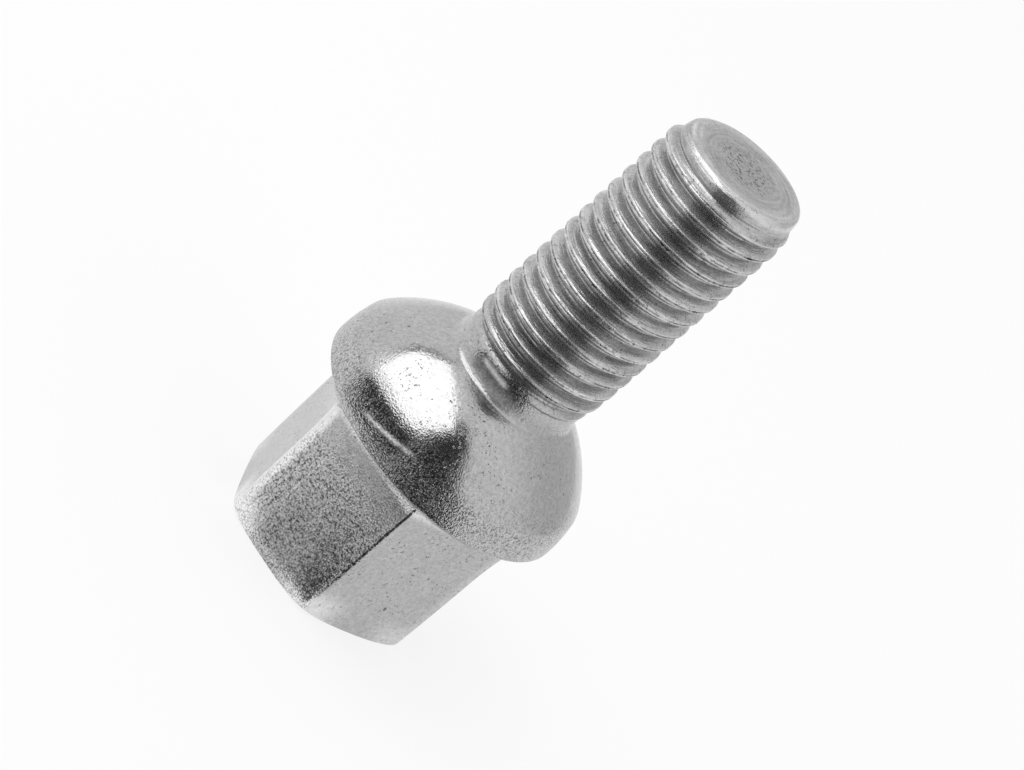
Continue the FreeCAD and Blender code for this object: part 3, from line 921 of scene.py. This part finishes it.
box_corners = [(28, -88), (40, -51), (47, -25), (67, 2), (58, -120), (40, -109)]
softbox, silk = make_card("softbox", [on_softbox(*corner) for corner in box_corners])
softbox.visible_camera = False
finish_material(silk, glow(silk, SOFTBOX_RADIANCE))
frame_corners = [(30, -97), (40, -109), (58, -120), (62, -131), (39, -116)]
box_frame, cloth = make_card("softbox_frame", [on_softbox(*corner) for corner in frame_corners])
finish_material(cloth, glow(cloth, DARK_RADIANCE / 2))
show_only_to_metal(box_frame)
print(f"softbox {SOFTBOX_DISTANCE} m away, radiance {SOFTBOX_RADIANCE}")

# %% [markdown]
# ## Dark cards
#
# Photographers stand dark cards beside shiny metal, so that its edges don't melt into the white. One card
# lies on the floor on the camera's side, and a curved one stands close beside the collar, too low for the
# thread to see much of it. A spin makes the curved one. Only the metal sees them: they throw no shadow.

# %% Dark card on the floor
CARD_LIFT = Vector((0, 0, 0.3 * MM))
card_corners = [(12, 3), (12, 14), (1100, 990), (1500, 0), (1400, -300), (46, -12)]
dark_card, black = make_card("dark_card", [(towards * out + sideways * aside) * MM + CARD_LIFT
                                           for out, aside in card_corners])
finish_material(black, glow(black, DARK_RADIANCE))
show_only_to_metal(dark_card)
print(f"dark card with {len(card_corners)} corners")

# %% Dark band beside the collar
BAND_REACH = 20
BAND_BOTTOM, BAND_TOP = 10.9, 22.5
BAND_RISE = 6               # its top edge climbs by this much along the band
BAND_START = math.radians(-58)
BAND_TURN = math.radians(46)
BAND_STEPS = 12

dark_band = draw_chain("dark_band", [(BAND_REACH, BAND_BOTTOM), (BAND_REACH, BAND_TOP)])
bpy.ops.object.mode_set(mode="EDIT")
bpy.ops.mesh.select_all(action="SELECT")
bpy.ops.mesh.spin(steps=BAND_STEPS, angle=-BAND_TURN, center=(0, 0, 0), axis=(0, 0, 1))
bpy.ops.object.mode_set(mode="OBJECT")
for vertex in dark_band.data.vertices:
    if vertex.co.z > BAND_TOP - TINY:
        vertex.co.z += BAND_RISE * math.atan2(vertex.co.y, vertex.co.x) / BAND_TURN
dark_band.scale = (MM, MM, MM)
dark_band.rotation_euler.z = CAMERA_AZIMUTH + BAND_START
show_only_to_metal(dark_band)
dark_band.data.materials.append(dark_card.data.materials[0])
print(f"dark band: {len(dark_band.data.polygons)} faces")

# %% [markdown]
# ## A grey card for one flat
#
# A flat side of the hexagon is a plane mirror, so each point of it shows one point of the floor. The grey
# card covers just the part of the floor that the flat facing the camera shows, and is darkest towards
# one edge. Its coordinates are therefore the flat's own: how far aside, and how far the ray travels.

# %% Grey card
away = Vector((math.cos(-math.pi - CAMERA_AZIMUTH), math.sin(-math.pi - CAMERA_AZIMUTH), 0))


def before_flat(aside, travel):
    """The point of the floor that the flat towards -Y mirrors to the camera."""
    return (Vector((aside, -HALF_FLATS, 0)) + away * travel) * MM + CARD_LIFT


grey_corners = [(-4.4, 1), (5.6, 1), (5.6, 28), (-4.4, 28)]
grey_card, grey = make_card("grey_card", [before_flat(*corner) for corner in grey_corners])
show_only_to_metal(grey_card)
spot = grey.node("ShaderNodeTexCoord", output="Object")
spot_x = grey.node("ShaderNodeSeparateXYZ", {}, {"Vector": spot}, "X") / MM
spot_y = grey.node("ShaderNodeSeparateXYZ", {}, {"Vector": spot}, "Y") / MM
travel = (spot_y + HALF_FLATS) / away.y
aside = spot_x - away.x * travel
shade = (0.45 + 0.5 * aside.step(1.0, 4.0)) * travel.step(26, 12) * aside.step(-4.4, -2.0)
clear = grey.node("ShaderNodeBsdfTransparent")
finish_material(grey, grey.node("ShaderNodeMixShader", {},
                                {0: shade, 1: clear, 2: glow(grey, DARK_RADIANCE / 2)}))
print(f"grey card over {grey_corners[2][1] - grey_corners[0][1]} mm of floor")
